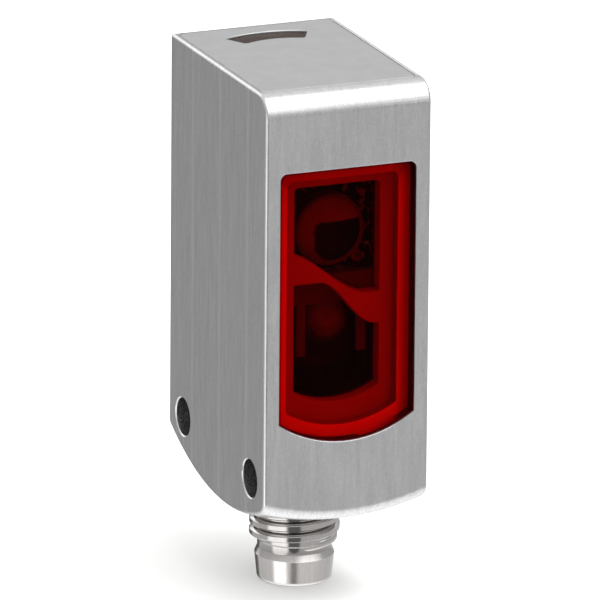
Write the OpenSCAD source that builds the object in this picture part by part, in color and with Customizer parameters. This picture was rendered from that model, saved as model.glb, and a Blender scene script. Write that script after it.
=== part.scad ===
// Miniature photoelectric sensor: slim stainless steel housing with a red
// front window, an arc-shaped status indicator in the top cover, two
// mounting holes across its width and an M8 plug connector underneath.
// Millimetres, +Z up. The front window faces -Y. The origin lies under the
// middle of the housing, level with the lower end of the connector.

/* [Housing] */
// Width of the housing, side to side
body_w = 15.25; // [15:0.25:20]
// Depth of the housing, front face to rear face
body_d = 22.6; // [21.8:0.1:28]
// Height from the lowest point of the underside to the top face
body_h = 40.05; // [39:0.05:48]
// Thickness of each side wall
side_wall = 1.0; // [0.8:0.1:1.2]
// Thickness of the front wall around the window
front_wall = 2.4; // [2.3:0.1:2.8]
// Thickness of the rear wall
rear_wall = 2.0; // [1.9:0.1:2.4]
// Radius of the domed underside
belly_r = 26; // [22:0.5:30]
// Distance from the front face back to the lowest point of the underside
belly_back = 9.4; // [8.8:0.1:11.6]
// Radius along the front edge of the top
front_round = 2.0; // [1.2:0.1:2]
// Radius along the rear edge of the top
rear_round = 0.8; // [0.6:0.1:1.6]
// Radius of the two upright front corners
corner_round = 0.3; // [0.1:0.1:0.5]
// Radius of the two upright rear corners
rear_corner = 0.8; // [0.3:0.1:1.2]

/* [Mounting holes] */
// Diameter of the two mounting holes across the width
hole_d = 3.4; // [2.6:0.1:3.6]
// Distance from the front face to the centre of the front mounting hole
front_hole_edge = 3.3; // [3:0.1:3.6]
// Distance from the rear face to the centre of the rear mounting hole
rear_hole_edge = 3.7; // [3.3:0.1:4]
// Depth of the front hole's centre below the top face
front_hole_drop = 34.85; // [34.3:0.05:35.4]
// Depth of the rear hole's centre below the top face
rear_hole_drop = 33.9; // [33.7:0.05:34.4]
// Chamfer at each mouth of the mounting holes
hole_chamfer = 0.1; // [0.05:0.05:0.3]
// Steel left between the mounting holes and the floor of the inside
floor_web = 0.8; // [0.6:0.1:0.9]

/* [Top cover] */
// Thickness of the cover plate
cover_t = 1.0; // [0.8:0.1:1.2]
// Width of the housing rim left on each side of the cover
cover_rim = 0.5; // [0.4:0.05:0.6]
// Corner radius of the cover plate
cover_corner = 0.6; // [0.3:0.1:1]
// Gap all round between the cover plate and its recess
cover_gap = 0.05; // [0.02:0.01:0.06]

/* [Indicator] */
// Radius of the centre line of the arc-shaped slot
slot_r = 7.1; // [6.5:0.1:9]
// Width of the slot
slot_w = 2.4; // [1.6:0.1:2.4]
// Length of the slot from side to side
slot_len = 6.6; // [6:0.1:8]
// Distance from the rear face to the middle of the slot
slot_back = 3.9; // [3.9:0.1:4.6]
// Depth of the lens face below the top of the cover
lens_recess = 0.2; // [0.2:0.05:0.5]
// Thickness of the lens flange under the cover
lens_flange_t = 1.0; // [0.8:0.1:1.2]
// Width of the lens flange beyond the slot
lens_flange_w = 0.6; // [0.4:0.1:0.6]

/* [Front window] */
// Width of the window
window_w = 12.5; // [11.9:0.1:12.7]
// Height of the window
window_h = 24.4; // [24:0.1:24.6]
// Distance from the top face down to the top of the window
window_drop = 6.9; // [6.6:0.1:7.2]
// Radius of the curved lower edge of the window
window_arc = 10.7; // [8:0.1:14]
// Corner radius at the top of the window
window_corner = 0.6; // [0.2:0.1:1]
// Thickness of the window pane
window_t = 1.2; // [1:0.1:1.3]
// Thickness of the sealing bead behind the pane
gasket_t = 0.15; // [0.1:0.05:0.3]
// Depth of the pane's face behind the front face
window_recess = 0.05; // [0.02:0.01:0.2]
// Width of the ledge that carries the pane
ledge_w = 1.1; // [0.9:0.05:1.3]
// Gap all round between the pane and its recess
window_gap = 0.04; // [0.02:0.01:0.06]

/* [Optics] */
// Thickness of the front light mask
mask_t = 1.2; // [1:0.1:1.4]
// Width of the mask opening
mouth_w = 7.92; // [7.6:0.02:8.2]
// Distance from the top face down to the top of the mask opening
mouth_drop = 9.0; // [8.8:0.1:9.4]
// Distance from the top face down to the lowest point of the mask opening
mouth_foot = 28.45; // [28:0.05:28.6]
// Radius of the curved lower edge of the mask opening
mouth_arc = 7.4; // [6:0.1:9]
// Depth of the sender lens axis below the top face
sender_drop = 13.55; // [13.4:0.05:13.7]
// Diameter of the sender lens
sender_lens_d = 5.6; // [5:0.1:5.6]
// Radius of the front surface of the sender lens
sender_lens_r = 5.5; // [4.5:0.1:8]
// Wall of the sender lens tube
tube_wall = 0.35; // [0.3:0.05:0.35]
// Width of the receiver lens
receiver_lens_w = 5.9; // [5.4:0.1:6.2]
// Distance from the top face down to the top of the receiver lens
receiver_lens_top = 20.2; // [20.1:0.1:20.6]
// Distance from the top face down to the bottom of the receiver lens
receiver_lens_foot = 26.8; // [26:0.1:27]
// Radius of the front surface of the receiver lens
receiver_lens_r = 9; // [7:0.5:14]
// Thickness of every circuit board
board_t = 0.8; // [0.6:0.1:1]

/* [Connector] */
// Length of the connector below the lowest point of the housing
conn_h = 7.05; // [6.4:0.05:7.6]
// Distance from the front face back to the connector axis
conn_back = 11.6; // [11.3:0.1:11.9]
// Outer diameter of the connector thread
thread_d = 7.95; // [7.8:0.05:8]
// Root diameter of the connector thread
thread_root_d = 6.8; // [6.7:0.05:7]
// Pitch of the thread
thread_pitch = 1.0; // [0.8:0.05:1]
// Diameter of the neck below the thread
neck_d = 6.5; // [6.4:0.05:6.7]
// Diameter of the snap lip near the end of the connector
lip_d = 7.0; // [6.8:0.05:7.2]
// Diameter of the end of the connector
tip_d = 6.6; // [6.4:0.05:6.8]
// Rounding of the connector's end
tip_round = 0.3; // [0.2:0.05:0.35]
// Inner diameter of the connector
socket_d = 5.5; // [5.2:0.1:5.6]
// Diameter of the collar pressed into the housing
collar_d = 8.2; // [8.1:0.05:8.4]
// Diameter of each contact pin
pin_d = 1.0; // [0.8:0.05:1]

/* [Hidden] */
$fn = 96;
over = 1;                       // how far every cutter runs past its face

// Colours
steel = "#b9babb";
red = "#c8141c";
smoke = "#1c1a1a";
black = "#222222";
green = "#1f6b3a";
tin = "#c9c9c6";
gold = "#c9a24a";

// Heights, measured up from the end of the connector
top = conn_h + body_h;
front = -body_d / 2;
rear = body_d / 2;
cavity_w = body_w - 2 * side_wall;
cavity_front = front + front_wall;
cavity_rear = rear - rear_wall;
cavity_floor = top - min(front_hole_drop, rear_hole_drop) + hole_d / 2 + floor_web;
belly_y = front + belly_back;

// Window and gasket stand in one stepped recess
pane_front = front + window_recess;
pane_back = pane_front + window_t;
ledge_front = pane_back + gasket_t;
window_foot = top - window_drop - window_h;

// Optics, from the front wall back to the optics board
fit = 0.1;                      // side clearance of loose inner parts
mask_front = cavity_front + 0.05;
mask_back = mask_front + mask_t;
carrier_d = 4.8;                // depth of the optics carrier
carrier_back = mask_back + carrier_d;
carrier_w = cavity_w - 2 * fit;
carrier_foot = cavity_floor + fit;
carrier_top = top - 5.6;
sender_z = top - sender_drop;
lens_seat = mask_back + 1.2;    // back of the sender lens edge
lens_edge_t = 0.7;
sender_lens_sag = sqrt(pow(sender_lens_r, 2) - pow(sender_lens_d / 2, 2));
tube_d = sender_lens_d + 2 * tube_wall;
tube_back = carrier_back - 0.1;
pocket_back = mask_back + 2.0;  // rear of the upper pocket
receiver_seat = mask_back + 2.6;
receiver_lens_t = 1.9;
receiver_z = top - (receiver_lens_top + receiver_lens_foot) / 2;
wall_foot = top - 17.4;         // lower face of the upper pocket
wall_rise = top - 19.9;         // upper face of the lower pocket
post_at = [2.66, top - 16.2];
rib_x = 2.8;
rib_w = 0.77;
rib_len = 4.6;
optics_board_front = carrier_back + 0.05;
optics_board_back = optics_board_front + board_t;
board_w = cavity_w - 0.6;

// Main board stands on the connector axis
conn_y = front + conn_back;
main_front = conn_y - board_t / 2;
main_back = conn_y + board_t / 2;
board_top = top - 5.7;
tongue_w = 6.4;

// Connector
collar_top = cavity_floor - 5.1;
collar_foot = conn_h - 0.3;
well_d = 8.8;
thread_foot = 3.6;
first_crest = thread_foot + 0.6;
thread_top = collar_foot - 0.1;
crest_w = 0.2;
insert_foot = 4.0;
insert_flange_t = 0.6;
insert_flange_d = 7.0;
groove_z = (collar_foot + collar_top) / 2 + 0.3;
groove_w = 1.2;
seal_d = 0.88;
groove_d = collar_d - 2 * seal_d - 0.04;
slip = 0.01;                    // radial clearance of pressed round parts
pin_foot = 0.9;
tail_d = 0.6;
tail_top = collar_top + 3.6;
pin_rows = [[-1.5, -1.1], [1.5, -1.1], [-1.0, 1.1], [1.0, 1.1]];

// Indicator board lies behind the main board, under the cover
lamp_board_top = top - 4.8;
lamp_y = rear - slot_back;
lamp_x = 1.9;
frame_rail = 1.1;
frame_back_t = 0.9;

// ---------- shared shapes ----------

// Flat rectangle with round corners, centred
module soft_rect(w, d, r) {
    square([w - 2 * r, d], center = true);
    square([w, d - 2 * r], center = true);
    for (sx = [-1, 1], sy = [-1, 1])
        translate([sx * (w / 2 - r), sy * (d / 2 - r)]) circle(r = r);
}

// Extrudes an outline drawn in X and Z from one depth to another
module between(y0, y1) {
    translate([0, y1, 0]) rotate([90, 0, 0]) linear_extrude(y1 - y0) children();
}

// Box given by its centre in X and Z, its size and its two depths
module slab(x, z, w, h, y0, y1) {
    translate([x - w / 2, y0, z - h / 2]) cube([w, y1 - y0, h]);
}

// Cylinder along the depth
module rod_y(x, z, d, y0, y1) {
    translate([x, y1, z]) rotate([90, 0, 0]) cylinder(d = d, h = y1 - y0);
}

// Upright opening with an arched lower edge and round upper corners
module arched(w, foot, head, arc, r) {
    intersection() {
        union() {
            translate([-w / 2, foot]) square([w, head - foot - r]);
            translate([-w / 2 + r, foot]) square([w - 2 * r, head - foot]);
            for (sx = [-1, 1]) translate([sx * (w / 2 - r), head - r]) circle(r = r);
        }
        union() {
            translate([0, foot + arc]) circle(r = arc, $fn = 180);
            translate([-w / 2, foot + arc]) square([w, head - foot]);
        }
    }
}

// Outline of the window, grown or shrunk
module window_outline(grow) {
    arched(window_w + 2 * grow, window_foot - grow, top - window_drop + grow,
           window_arc + grow, window_corner);
}

// Outline of the mask opening, grown
module mouth_outline(grow) {
    arched(mouth_w + 2 * grow, top - mouth_foot - grow, top - mouth_drop + grow,
           mouth_arc + grow, 0.4);
}

// Height of the divider band's upper and lower edges across its width
band_half = mouth_w / 2 + 0.6;
function ease(t) = (1 - cos(180 * min(1, max(0, t)))) / 2;
function ramp(t) = (min(1, max(0, t)) + ease(t)) / 2;
function band_upper(x) = top - 14.96 - 3.99 * ramp((x + 4.0) / 6.4);
function band_lower(x) = top - 17.7 - 4.1 * ease((x + 1.6) / 5.2);
band_steps = 30;

module divider_band() {
    xs = [for (i = [0:band_steps]) -band_half + 2 * band_half * i / band_steps];
    polygon(concat([for (x = xs) [x, band_upper(x)]],
                   [for (i = [band_steps:-1:0]) [xs[i], band_lower(xs[i])]]));
}

// Arc-shaped slot, drawn flat, grown
slot_centre = rear - slot_back - slot_r;
slot_half_angle = asin(slot_len / 2 / slot_r);
module slot_outline(grow) {
    reach = slot_r + slot_w;
    a = slot_half_angle + asin(grow / slot_r);
    translate([0, slot_centre]) intersection() {
        difference() {
            circle(r = slot_r + slot_w / 2 + grow, $fn = 180);
            circle(r = slot_r - slot_w / 2 - grow, $fn = 180);
        }
        polygon([[0, 0], reach * 1.2 * [-sin(a), cos(a)],
                 [0, reach * 1.6], reach * 1.2 * [sin(a), cos(a)]]);
    }
}

// ---------- housing and covers ----------

// Plan of the housing, with its own radius at the front and at the rear corners
module housing_plan() {
    translate([-body_w / 2, front + corner_round])
        square([body_w, body_d - corner_round - rear_corner]);
    translate([corner_round - body_w / 2, front])
        square([body_w - 2 * corner_round, body_d / 2]);
    translate([rear_corner - body_w / 2, 0])
        square([body_w - 2 * rear_corner, rear]);
    for (sx = [-1, 1]) {
        translate([sx * (body_w / 2 - corner_round), front + corner_round])
            circle(r = corner_round);
        translate([sx * (body_w / 2 - rear_corner), rear - rear_corner])
            circle(r = rear_corner);
    }
}

// Outside of the housing: plan, side profile and domed underside in one
module housing_blank() {
    intersection() {
        linear_extrude(top) housing_plan();
        rotate([90, 0, 90]) translate([0, 0, -body_w]) linear_extrude(2 * body_w) {
            translate([front, 0]) square([body_d, top - front_round]);
            translate([front + front_round, 0])
                square([body_d - front_round - rear_round, top]);
            translate([0, 0]) square([body_d / 2, top - rear_round]);
            translate([front + front_round, top - front_round]) circle(r = front_round);
            translate([rear - rear_round, top - rear_round]) circle(r = rear_round);
        }
        translate([0, belly_y, conn_h + belly_r]) sphere(r = belly_r, $fn = 180);
    }
}

// Bore across the width with a small chamfer at both mouths
module mounting_hole(y, z) {
    translate([0, y, z]) rotate([0, 90, 0]) {
        cylinder(d = hole_d, h = body_w + 2 * over, center = true);
        for (s = [-1, 1]) translate([0, 0, s * body_w / 2]) mirror([0, 0, s < 0 ? 1 : 0])
            translate([0, 0, -hole_chamfer])
                cylinder(d1 = hole_d, d2 = hole_d + 4 * hole_chamfer, h = 2 * hole_chamfer);
    }
}

// The cover plate fills the flat part of the top
cover_d = body_d - front_round - rear_round;
cover_y = (front_round - rear_round) / 2;
module housing() {
    color(steel) difference() {
        housing_blank();
        translate([-cavity_w / 2, cavity_front, cavity_floor])
            cube([cavity_w, cavity_rear - cavity_front, top - cavity_floor - cover_t / 2]);
        translate([0, cover_y, top - cover_t]) linear_extrude(cover_t + over)
            soft_rect(body_w - 2 * cover_rim, cover_d, cover_corner);
        between(front - over, ledge_front) window_outline(0);
        between(front - over, cavity_front + over) window_outline(-ledge_w);
        mounting_hole(front + front_hole_edge, top - front_hole_drop);
        mounting_hole(rear - rear_hole_edge, top - rear_hole_drop);
        translate([0, conn_y, collar_top]) cylinder(d = well_d, h = cavity_floor - collar_top + over);
        translate([0, conn_y, 0]) cylinder(d = collar_d, h = collar_top + over);
    }
}

module top_cover() {
    color(steel) difference() {
        translate([0, cover_y, top - cover_t]) linear_extrude(cover_t)
            soft_rect(body_w - 2 * cover_rim - 2 * cover_gap, cover_d - 2 * cover_gap,
                      cover_corner - cover_gap);
        translate([0, 0, top - cover_t - over]) linear_extrude(cover_t + 2 * over)
            slot_outline(0);
    }
}

// Arc-shaped lens with a flange under the cover
module indicator_lens() {
    color(smoke) {
        translate([0, 0, top - cover_t]) linear_extrude(cover_t - lens_recess)
            slot_outline(-0.03);
        translate([0, 0, top - cover_t - lens_flange_t]) linear_extrude(lens_flange_t)
            slot_outline(lens_flange_w);
    }
}

module front_window() {
    color(red) between(pane_front, pane_back) window_outline(-window_gap);
}

module window_gasket() {
    color("#d94848") between(pane_back, ledge_front) difference() {
        window_outline(-window_gap);
        window_outline(-ledge_w);
    }
}

// ---------- optics ----------

// Front frame with the curved divider between the two light channels
module light_mask() {
    color("#8a8480") between(mask_front, mask_back) difference() {
        translate([-carrier_w / 2, carrier_foot])
            square([carrier_w, carrier_top - carrier_foot]);
        difference() {
            mouth_outline(0);
            divider_band();
        }
    }
}

module optics_carrier() {
    color(black) {
        difference() {
            translate([-carrier_w / 2, mask_back, carrier_foot])
                cube([carrier_w, carrier_d, carrier_top - carrier_foot]);
            between(mask_back - over, pocket_back) intersection() {
                mouth_outline(0.25);
                translate([-body_w / 2, wall_foot]) square([body_w, top]);
            }
            rod_y(0, sender_z, tube_d + 2 * slip, mask_back, carrier_back + over);
            between(mask_back - over, receiver_seat) difference() {
                mouth_outline(0.25);
                translate([-body_w / 2, wall_rise]) square([body_w, top]);
            }
            slab(0, receiver_z, receiver_lens_w - 0.7, receiver_lens_foot - receiver_lens_top - 1.0,
                 mask_back, carrier_back + over);
        }
        // Post beside the sender lens
        difference() {
            rod_y(post_at[0], post_at[1], 1.0, mask_back + 0.75, pocket_back + 0.1);
            rod_y(post_at[0], post_at[1], 0.44, mask_back, pocket_back - 0.3);
        }
        // Two fingers that hold the receiver lens from the front
        for (sx = [-1, 1])
            slab(sx * rib_x, wall_rise - rib_len / 2 + 0.2, rib_w, rib_len + 0.4,
                 mask_back, mask_back + 0.5);
    }
}

module sender_lens() {
    color("#d9dde0", 0.6) intersection() {
        rod_y(0, sender_z, sender_lens_d, mask_front, lens_seat);
        translate([0, lens_seat - lens_edge_t + sender_lens_sag, sender_z])
            sphere(r = sender_lens_r);
    }
}

module sender_tube() {
    color(black) difference() {
        rod_y(0, sender_z, tube_d, lens_seat - lens_edge_t, tube_back);
        rod_y(0, sender_z, sender_lens_d + 2 * slip, lens_seat - lens_edge_t - over, lens_seat);
        rod_y(0, sender_z, sender_lens_d - 0.5, lens_seat - 0.1, tube_back + over);
    }
}

// Black cap over the light source with a pinhole in its face
module led_aperture() {
    color(black) difference() {
        slab(0, sender_z, 3.8, 3.2, optics_board_front - 2.3, optics_board_front);
        slab(0, sender_z, 2.8, 2.2, optics_board_front - 1.7, optics_board_front + over);
        rod_y(0, sender_z, 0.7, optics_board_front - 3, optics_board_front);
    }
}

module sender_led() {
    color("#e8d9c4") {
        slab(0, sender_z, 2.2, 1.6, optics_board_front - 0.5, optics_board_front);
        rod_y(0, sender_z, 1.1, optics_board_front - 0.9, optics_board_front - 0.5);
    }
}

module receiver_lens() {
    h = receiver_lens_foot - receiver_lens_top;
    color("#d9dde0", 0.6) intersection() {
        slab(0, receiver_z, receiver_lens_w, h, mask_front, receiver_seat);
        translate([0, receiver_seat - receiver_lens_t + receiver_lens_r, receiver_z])
            sphere(r = receiver_lens_r);
    }
}

module receiver_chip() {
    color("#2c2634") slab(0, receiver_z, 3.0, 2.2, optics_board_front - 0.6, optics_board_front);
}

module receiver_shield() {
    w = 4.8;
    h = 5.0;
    t = 0.15;
    color(tin) difference() {
        slab(0, receiver_z, w, h, optics_board_front - 1.1, optics_board_front);
        slab(0, receiver_z, w - 2 * t, h - 2 * t, optics_board_front - 1.1 + t, optics_board_front + over);
        slab(0, receiver_z, 2.6, 1.8, optics_board_front - 2, optics_board_front);
    }
}

// ---------- circuit boards ----------

// Pins that join the two upright boards
link_z = top - 8.2;
link_pitch = 1.27;
link_count = 6;
link_pin_d = 0.4;
function link_x(i) = (i - (link_count - 1) / 2) * link_pitch;

module link_holes(y0, y1) {
    for (i = [0:link_count - 1]) rod_y(link_x(i), link_z, link_pin_d + 2 * slip, y0, y1);
}

module optics_board() {
    color(green) difference() {
        translate([-board_w / 2, optics_board_front, carrier_foot + 0.2])
            cube([board_w, board_t, carrier_top - carrier_foot - 0.4]);
        link_holes(optics_board_front - over, optics_board_back + over);
    }
}

module signal_chip() {
    color(black) slab(0, top - 22, 4.4, 4.4, optics_board_back, optics_board_back + 0.75);
}

module link_header() {
    color(black) difference() {
        slab(0, link_z, link_count * link_pitch, 1.7, optics_board_back, main_front);
        link_holes(optics_board_back - over, main_front + over);
    }
}

module link_pins() {
    color(gold) for (i = [0:link_count - 1])
        rod_y(link_x(i), link_z, link_pin_d, optics_board_front - 0.03, main_back + 0.5);
}

module main_board() {
    color(green) difference() {
        union() {
            translate([-board_w / 2, main_front, cavity_floor + 0.3])
                cube([board_w, board_t, board_top - cavity_floor - 0.3]);
            translate([-tongue_w / 2, main_front, collar_top + insert_flange_t + 0.3])
                cube([tongue_w, board_t, cavity_floor - collar_top]);
        }
        link_holes(main_front - over, main_back + over);
    }
}

module control_chip() {
    color(black) slab(0, top - 15, 5, 5, main_front - 0.85, main_front);
}

module driver_chip() {
    color(black) slab(-2.6, top - 24.5, 3.9, 4.9, main_back, main_back + 1.0);
}

module output_transistors() {
    color(black) for (x = [-2.6, 2.6]) slab(x, top - 29.2, 2.9, 1.6, main_back, main_back + 1.1);
}

module capacitors() {
    color("#b08a5a") {
        for (x = [-3.9, 3.9]) slab(x, top - 12, 2.5, 3.2, main_back, main_back + 2.4);
        for (z = [17.2, 19]) slab(3.9, top - z, 2.0, 1.25, main_back, main_back + 1.2);
    }
}

module resistors() {
    color("#3a3a3c") for (i = [0:2], j = [0:1])
        slab(1.9 + 1.5 * i, top - 22.4 - 3.6 * j, 0.85, 1.6, main_back, main_back + 0.45);
}

// Wire-wound drum choke
module choke() {
    color("#57504a") translate([-2.6, main_back, top - 18.2]) rotate([-90, 0, 0]) {
        cylinder(d = 4.4, h = 0.5);
        cylinder(d = 3.2, h = 2.6);
        translate([0, 0, 2.1]) cylinder(d = 4.4, h = 0.5);
    }
}

// Black frame behind the main board that keeps the boards in place
module rear_frame() {
    frame_top = lamp_board_top - board_t;
    color(black) {
        for (sx = [-1, 1])
            translate([sx > 0 ? carrier_w / 2 - frame_rail : -carrier_w / 2, main_back, carrier_foot])
                cube([frame_rail, cavity_rear - fit - main_back, frame_top - carrier_foot]);
        translate([-carrier_w / 2, cavity_rear - fit - frame_back_t, carrier_foot])
            cube([carrier_w, frame_back_t, frame_top - carrier_foot]);
    }
}

module indicator_board() {
    color(green) translate([-board_w / 2, main_back + 0.1, lamp_board_top - board_t])
        cube([board_w, cavity_rear - main_back - 0.3, board_t]);
}

// Four solder fillets between the indicator board and the main board
module edge_solder() {
    r = 0.7;
    color(tin) for (i = [0:3])
        translate([(i - 1.5) * 2.6, 0, 0]) rotate([0, 90, 0]) translate([0, 0, -0.4])
            linear_extrude(0.8)
                polygon([[-board_top, main_back], [-board_top + r, main_back],
                         [-board_top, main_back + r]]);
}

module status_led(x) {
    slab(x, lamp_board_top + 0.35, 1.6, 0.7, lamp_y - 0.4, lamp_y + 0.4);
}

module green_led() {
    color("#9fe08a") status_led(-lamp_x);
}

module yellow_led() {
    color("#f2c230") status_led(lamp_x);
}

// ---------- connector ----------

// Ring-shaped crests at the thread's pitch
thread_turns = floor((thread_top - first_crest) / thread_pitch);
module thread_profile() {
    r = thread_d / 2;
    root = thread_root_d / 2;
    flank = (thread_pitch - crest_w) / 2 - crest_w / 2;
    points = [for (i = [0:thread_turns]) let (z = first_crest + i * thread_pitch)
        each [[root, z - crest_w / 2 - flank], [r, z - crest_w / 2], [r, z + crest_w / 2],
              [root, z + crest_w / 2 + flank]]];
    polygon(concat([[0, thread_foot]], points, [[root, collar_foot + 0.3], [0, collar_foot + 0.3]]));
}

module connector_shell() {
    lip_z = 2.3;
    bevel = 0.5;
    mouth_chamfer = 0.1;
    color(tin) difference() {
        union() {
            translate([0, conn_y, 0]) rotate_extrude() {
                translate([tip_d / 2 - tip_round, tip_round]) circle(r = tip_round);
                polygon([[0, 0], [tip_d / 2 - tip_round, 0], [tip_d / 2, tip_round],
                         [lip_d / 2, lip_z], [neck_d / 2, lip_z + bevel],
                         [neck_d / 2, thread_foot + 0.1], [0, thread_foot + 0.1]]);
                thread_profile();
            }
            translate([0, conn_y, collar_foot])
                cylinder(d = collar_d - 2 * slip, h = collar_top - collar_foot);
        }
        translate([0, conn_y, -over]) cylinder(d = socket_d, h = collar_top + 2 * over);
        translate([0, conn_y, -mouth_chamfer])
            cylinder(d1 = socket_d + 4 * mouth_chamfer, d2 = socket_d, h = 2 * mouth_chamfer);
        translate([0, conn_y, groove_z - groove_w / 2]) difference() {
            cylinder(d = collar_d + over, h = groove_w);
            translate([0, 0, -over]) cylinder(d = groove_d, h = groove_w + 2 * over);
        }
    }
}

module connector_seal() {
    color("#262626") translate([0, conn_y, groove_z])
        rotate_extrude() translate([collar_d / 2 - seal_d / 2 - slip, 0]) circle(d = seal_d);
}

module connector_insert() {
    color(black) difference() {
        translate([0, conn_y, 0]) {
            translate([0, 0, insert_foot])
                cylinder(d = socket_d - 2 * slip, h = collar_top - insert_foot + 0.1);
            translate([0, 0, collar_top]) cylinder(d = insert_flange_d, h = insert_flange_t);
        }
        for (p = pin_rows) translate([p[0], conn_y + p[1], 0])
            cylinder(d = pin_d + 2 * slip, h = collar_top + insert_flange_t + over);
    }
}

// Round-nosed contact pin with a thinner solder tail
module contact_pin(i) {
    nose = pin_d / 4;
    color(gold) translate([pin_rows[i][0], conn_y + pin_rows[i][1], 0]) {
        translate([0, 0, pin_foot]) cylinder(d1 = pin_d - 2 * nose, d2 = pin_d, h = nose);
        translate([0, 0, pin_foot + nose])
            cylinder(d = pin_d, h = collar_top + insert_flange_t - pin_foot - nose);
        translate([0, 0, pin_foot + 1]) cylinder(d = tail_d, h = tail_top - pin_foot - 1);
    }
}

module contact_pin_1() { contact_pin(0); }
module contact_pin_2() { contact_pin(1); }
module contact_pin_3() { contact_pin(2); }
module contact_pin_4() { contact_pin(3); }

// Solder between each pin's tail and the tongue of the main board
module tail_solder() {
    h = 1.8;
    w = 1.0;
    color(tin) for (p = pin_rows) {
        side = p[1] < 0 ? -1 : 1;
        gap = abs(p[1]) - board_t / 2;
        difference() {
            translate([p[0] - w / 2, side > 0 ? main_back : main_front - gap - 0.4, tail_top - h - 0.4])
                cube([w, gap + 0.4, h]);
            translate([p[0], conn_y + p[1], 0]) cylinder(d = tail_d, h = tail_top);
        }
    }
}

housing();
top_cover();
indicator_lens();
front_window();
window_gasket();
light_mask();
optics_carrier();
sender_lens();
sender_tube();
led_aperture();
sender_led();
receiver_lens();
receiver_chip();
receiver_shield();
optics_board();
signal_chip();
link_header();
link_pins();
main_board();
control_chip();
driver_chip();
output_transistors();
capacitors();
resistors();
choke();
rear_frame();
indicator_board();
edge_solder();
green_led();
yellow_led();
connector_shell();
connector_seal();
connector_insert();
contact_pin_1();
contact_pin_2();
contact_pin_3();
contact_pin_4();
tail_solder();
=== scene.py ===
"""Miniature photoelectric sensor: stainless steel housing, red window, lenses and plug connector.

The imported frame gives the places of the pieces. The housing's roundings and the connector's
profile are values of this script. Lengths are metres; one in millimetres is multiplied by MM.
"""

import math

import bmesh
import bpy
from mathutils import Matrix, Vector


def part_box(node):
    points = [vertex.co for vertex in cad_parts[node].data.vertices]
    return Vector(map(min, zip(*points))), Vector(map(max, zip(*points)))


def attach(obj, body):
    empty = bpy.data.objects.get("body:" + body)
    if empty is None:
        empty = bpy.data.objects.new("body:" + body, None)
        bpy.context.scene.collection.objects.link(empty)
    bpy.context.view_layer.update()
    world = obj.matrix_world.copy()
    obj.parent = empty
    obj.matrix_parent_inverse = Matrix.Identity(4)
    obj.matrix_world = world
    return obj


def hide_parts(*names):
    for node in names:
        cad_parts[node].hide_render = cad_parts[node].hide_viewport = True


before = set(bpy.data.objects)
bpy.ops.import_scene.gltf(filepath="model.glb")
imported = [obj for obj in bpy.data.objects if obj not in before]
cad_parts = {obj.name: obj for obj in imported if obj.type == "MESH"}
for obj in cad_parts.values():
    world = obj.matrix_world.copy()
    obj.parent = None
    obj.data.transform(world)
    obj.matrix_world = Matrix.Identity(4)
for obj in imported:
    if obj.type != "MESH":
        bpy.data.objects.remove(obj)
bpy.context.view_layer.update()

MM = 0.001

# ---------------------------------------------------------------- view

VIEW_AZIMUTH = math.radians(-22.329)  # the camera stands to the left of the window
VIEW_ELEVATION = math.radians(16.988)
VIEW_ROLL = math.radians(0.464)
VIEW_DISTANCE = 0.9532
VIEW_LENS = 662.0                     # long lens, so upright edges stay nearly parallel
AIM = Vector((-0.8 * MM, -2.5 * MM, 26.0 * MM))


def place_camera():
    """Camera on a long lens, turned a little about its own axis."""
    camera = bpy.data.objects.new("camera", bpy.data.cameras.new("camera"))
    bpy.context.scene.collection.objects.link(camera)
    camera.data.lens = VIEW_LENS
    camera.data.sensor_width = 36
    camera.data.clip_start = 0.05
    camera.data.clip_end = 20
    back = Vector((math.sin(VIEW_AZIMUTH) * math.cos(VIEW_ELEVATION),
                   -math.cos(VIEW_AZIMUTH) * math.cos(VIEW_ELEVATION), math.sin(VIEW_ELEVATION)))
    right = Vector((math.cos(VIEW_AZIMUTH), math.sin(VIEW_AZIMUTH), 0))
    up = back.cross(right)
    turned = right * math.cos(VIEW_ROLL) + up * math.sin(VIEW_ROLL)
    axes = Matrix((turned, back.cross(turned), back)).transposed().to_4x4()
    camera.matrix_world = Matrix.Translation(AIM + back * VIEW_DISTANCE) @ axes
    bpy.context.scene.camera = camera


# ---------------------------------------------------------------- node and mesh helpers

def srgb(code):
    """Linear colour of an sRGB hex value."""
    parts = [int(code[i:i + 2], 16) / 255 for i in (1, 3, 5)]
    return [p / 12.92 if p <= 0.04045 else ((p + 0.055) / 1.055) ** 2.4 for p in parts] + [1]


def add(tree, kind, sockets=None, **settings):
    """Adds a node: settings are its properties, sockets the values or links of its inputs."""
    node = tree.nodes.new(kind)
    for key, value in settings.items():
        setattr(node, key, value)
    for key, value in (sockets or {}).items():
        if isinstance(value, bpy.types.NodeSocket):
            tree.links.new(value, node.inputs[key])
        else:
            node.inputs[key].default_value = value
    return node


def new_material(name):
    """An empty node material and its tree."""
    material = bpy.data.materials.new(name)
    material.use_nodes = True
    tree = material.node_tree
    tree.nodes.clear()
    return material, tree


def show(tree, shader):
    """Makes a shader the surface of its material."""
    add(tree, "ShaderNodeOutputMaterial", {"Surface": shader})


def merged_copy(node):
    """A copy of a CAD node's mesh with its loose triangles joined into whole faces."""
    bm = bmesh.new()
    bm.from_mesh(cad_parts[node].data)
    bmesh.ops.remove_doubles(bm, verts=bm.verts, dist=0.001 * MM)
    bmesh.ops.dissolve_limit(bm, angle_limit=math.radians(0.4), verts=bm.verts, edges=bm.edges)
    return bm


SHARP = math.radians(35)   # an edge that turns more than this counts as sharp


def break_edges(bm, radius, pick, segments=2):
    """Rounds the sharp convex edges that pick chooses."""
    sharp = [e for e in bm.edges if len(e.link_faces) == 2 and e.is_convex
             and e.calc_face_angle() > SHARP and pick(e)]
    bmesh.ops.bevel(bm, geom=sharp, offset=radius, offset_type="OFFSET", segments=segments,
                    profile=0.5, affect="EDGES", material=-1, clamp_overlap=False)


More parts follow.
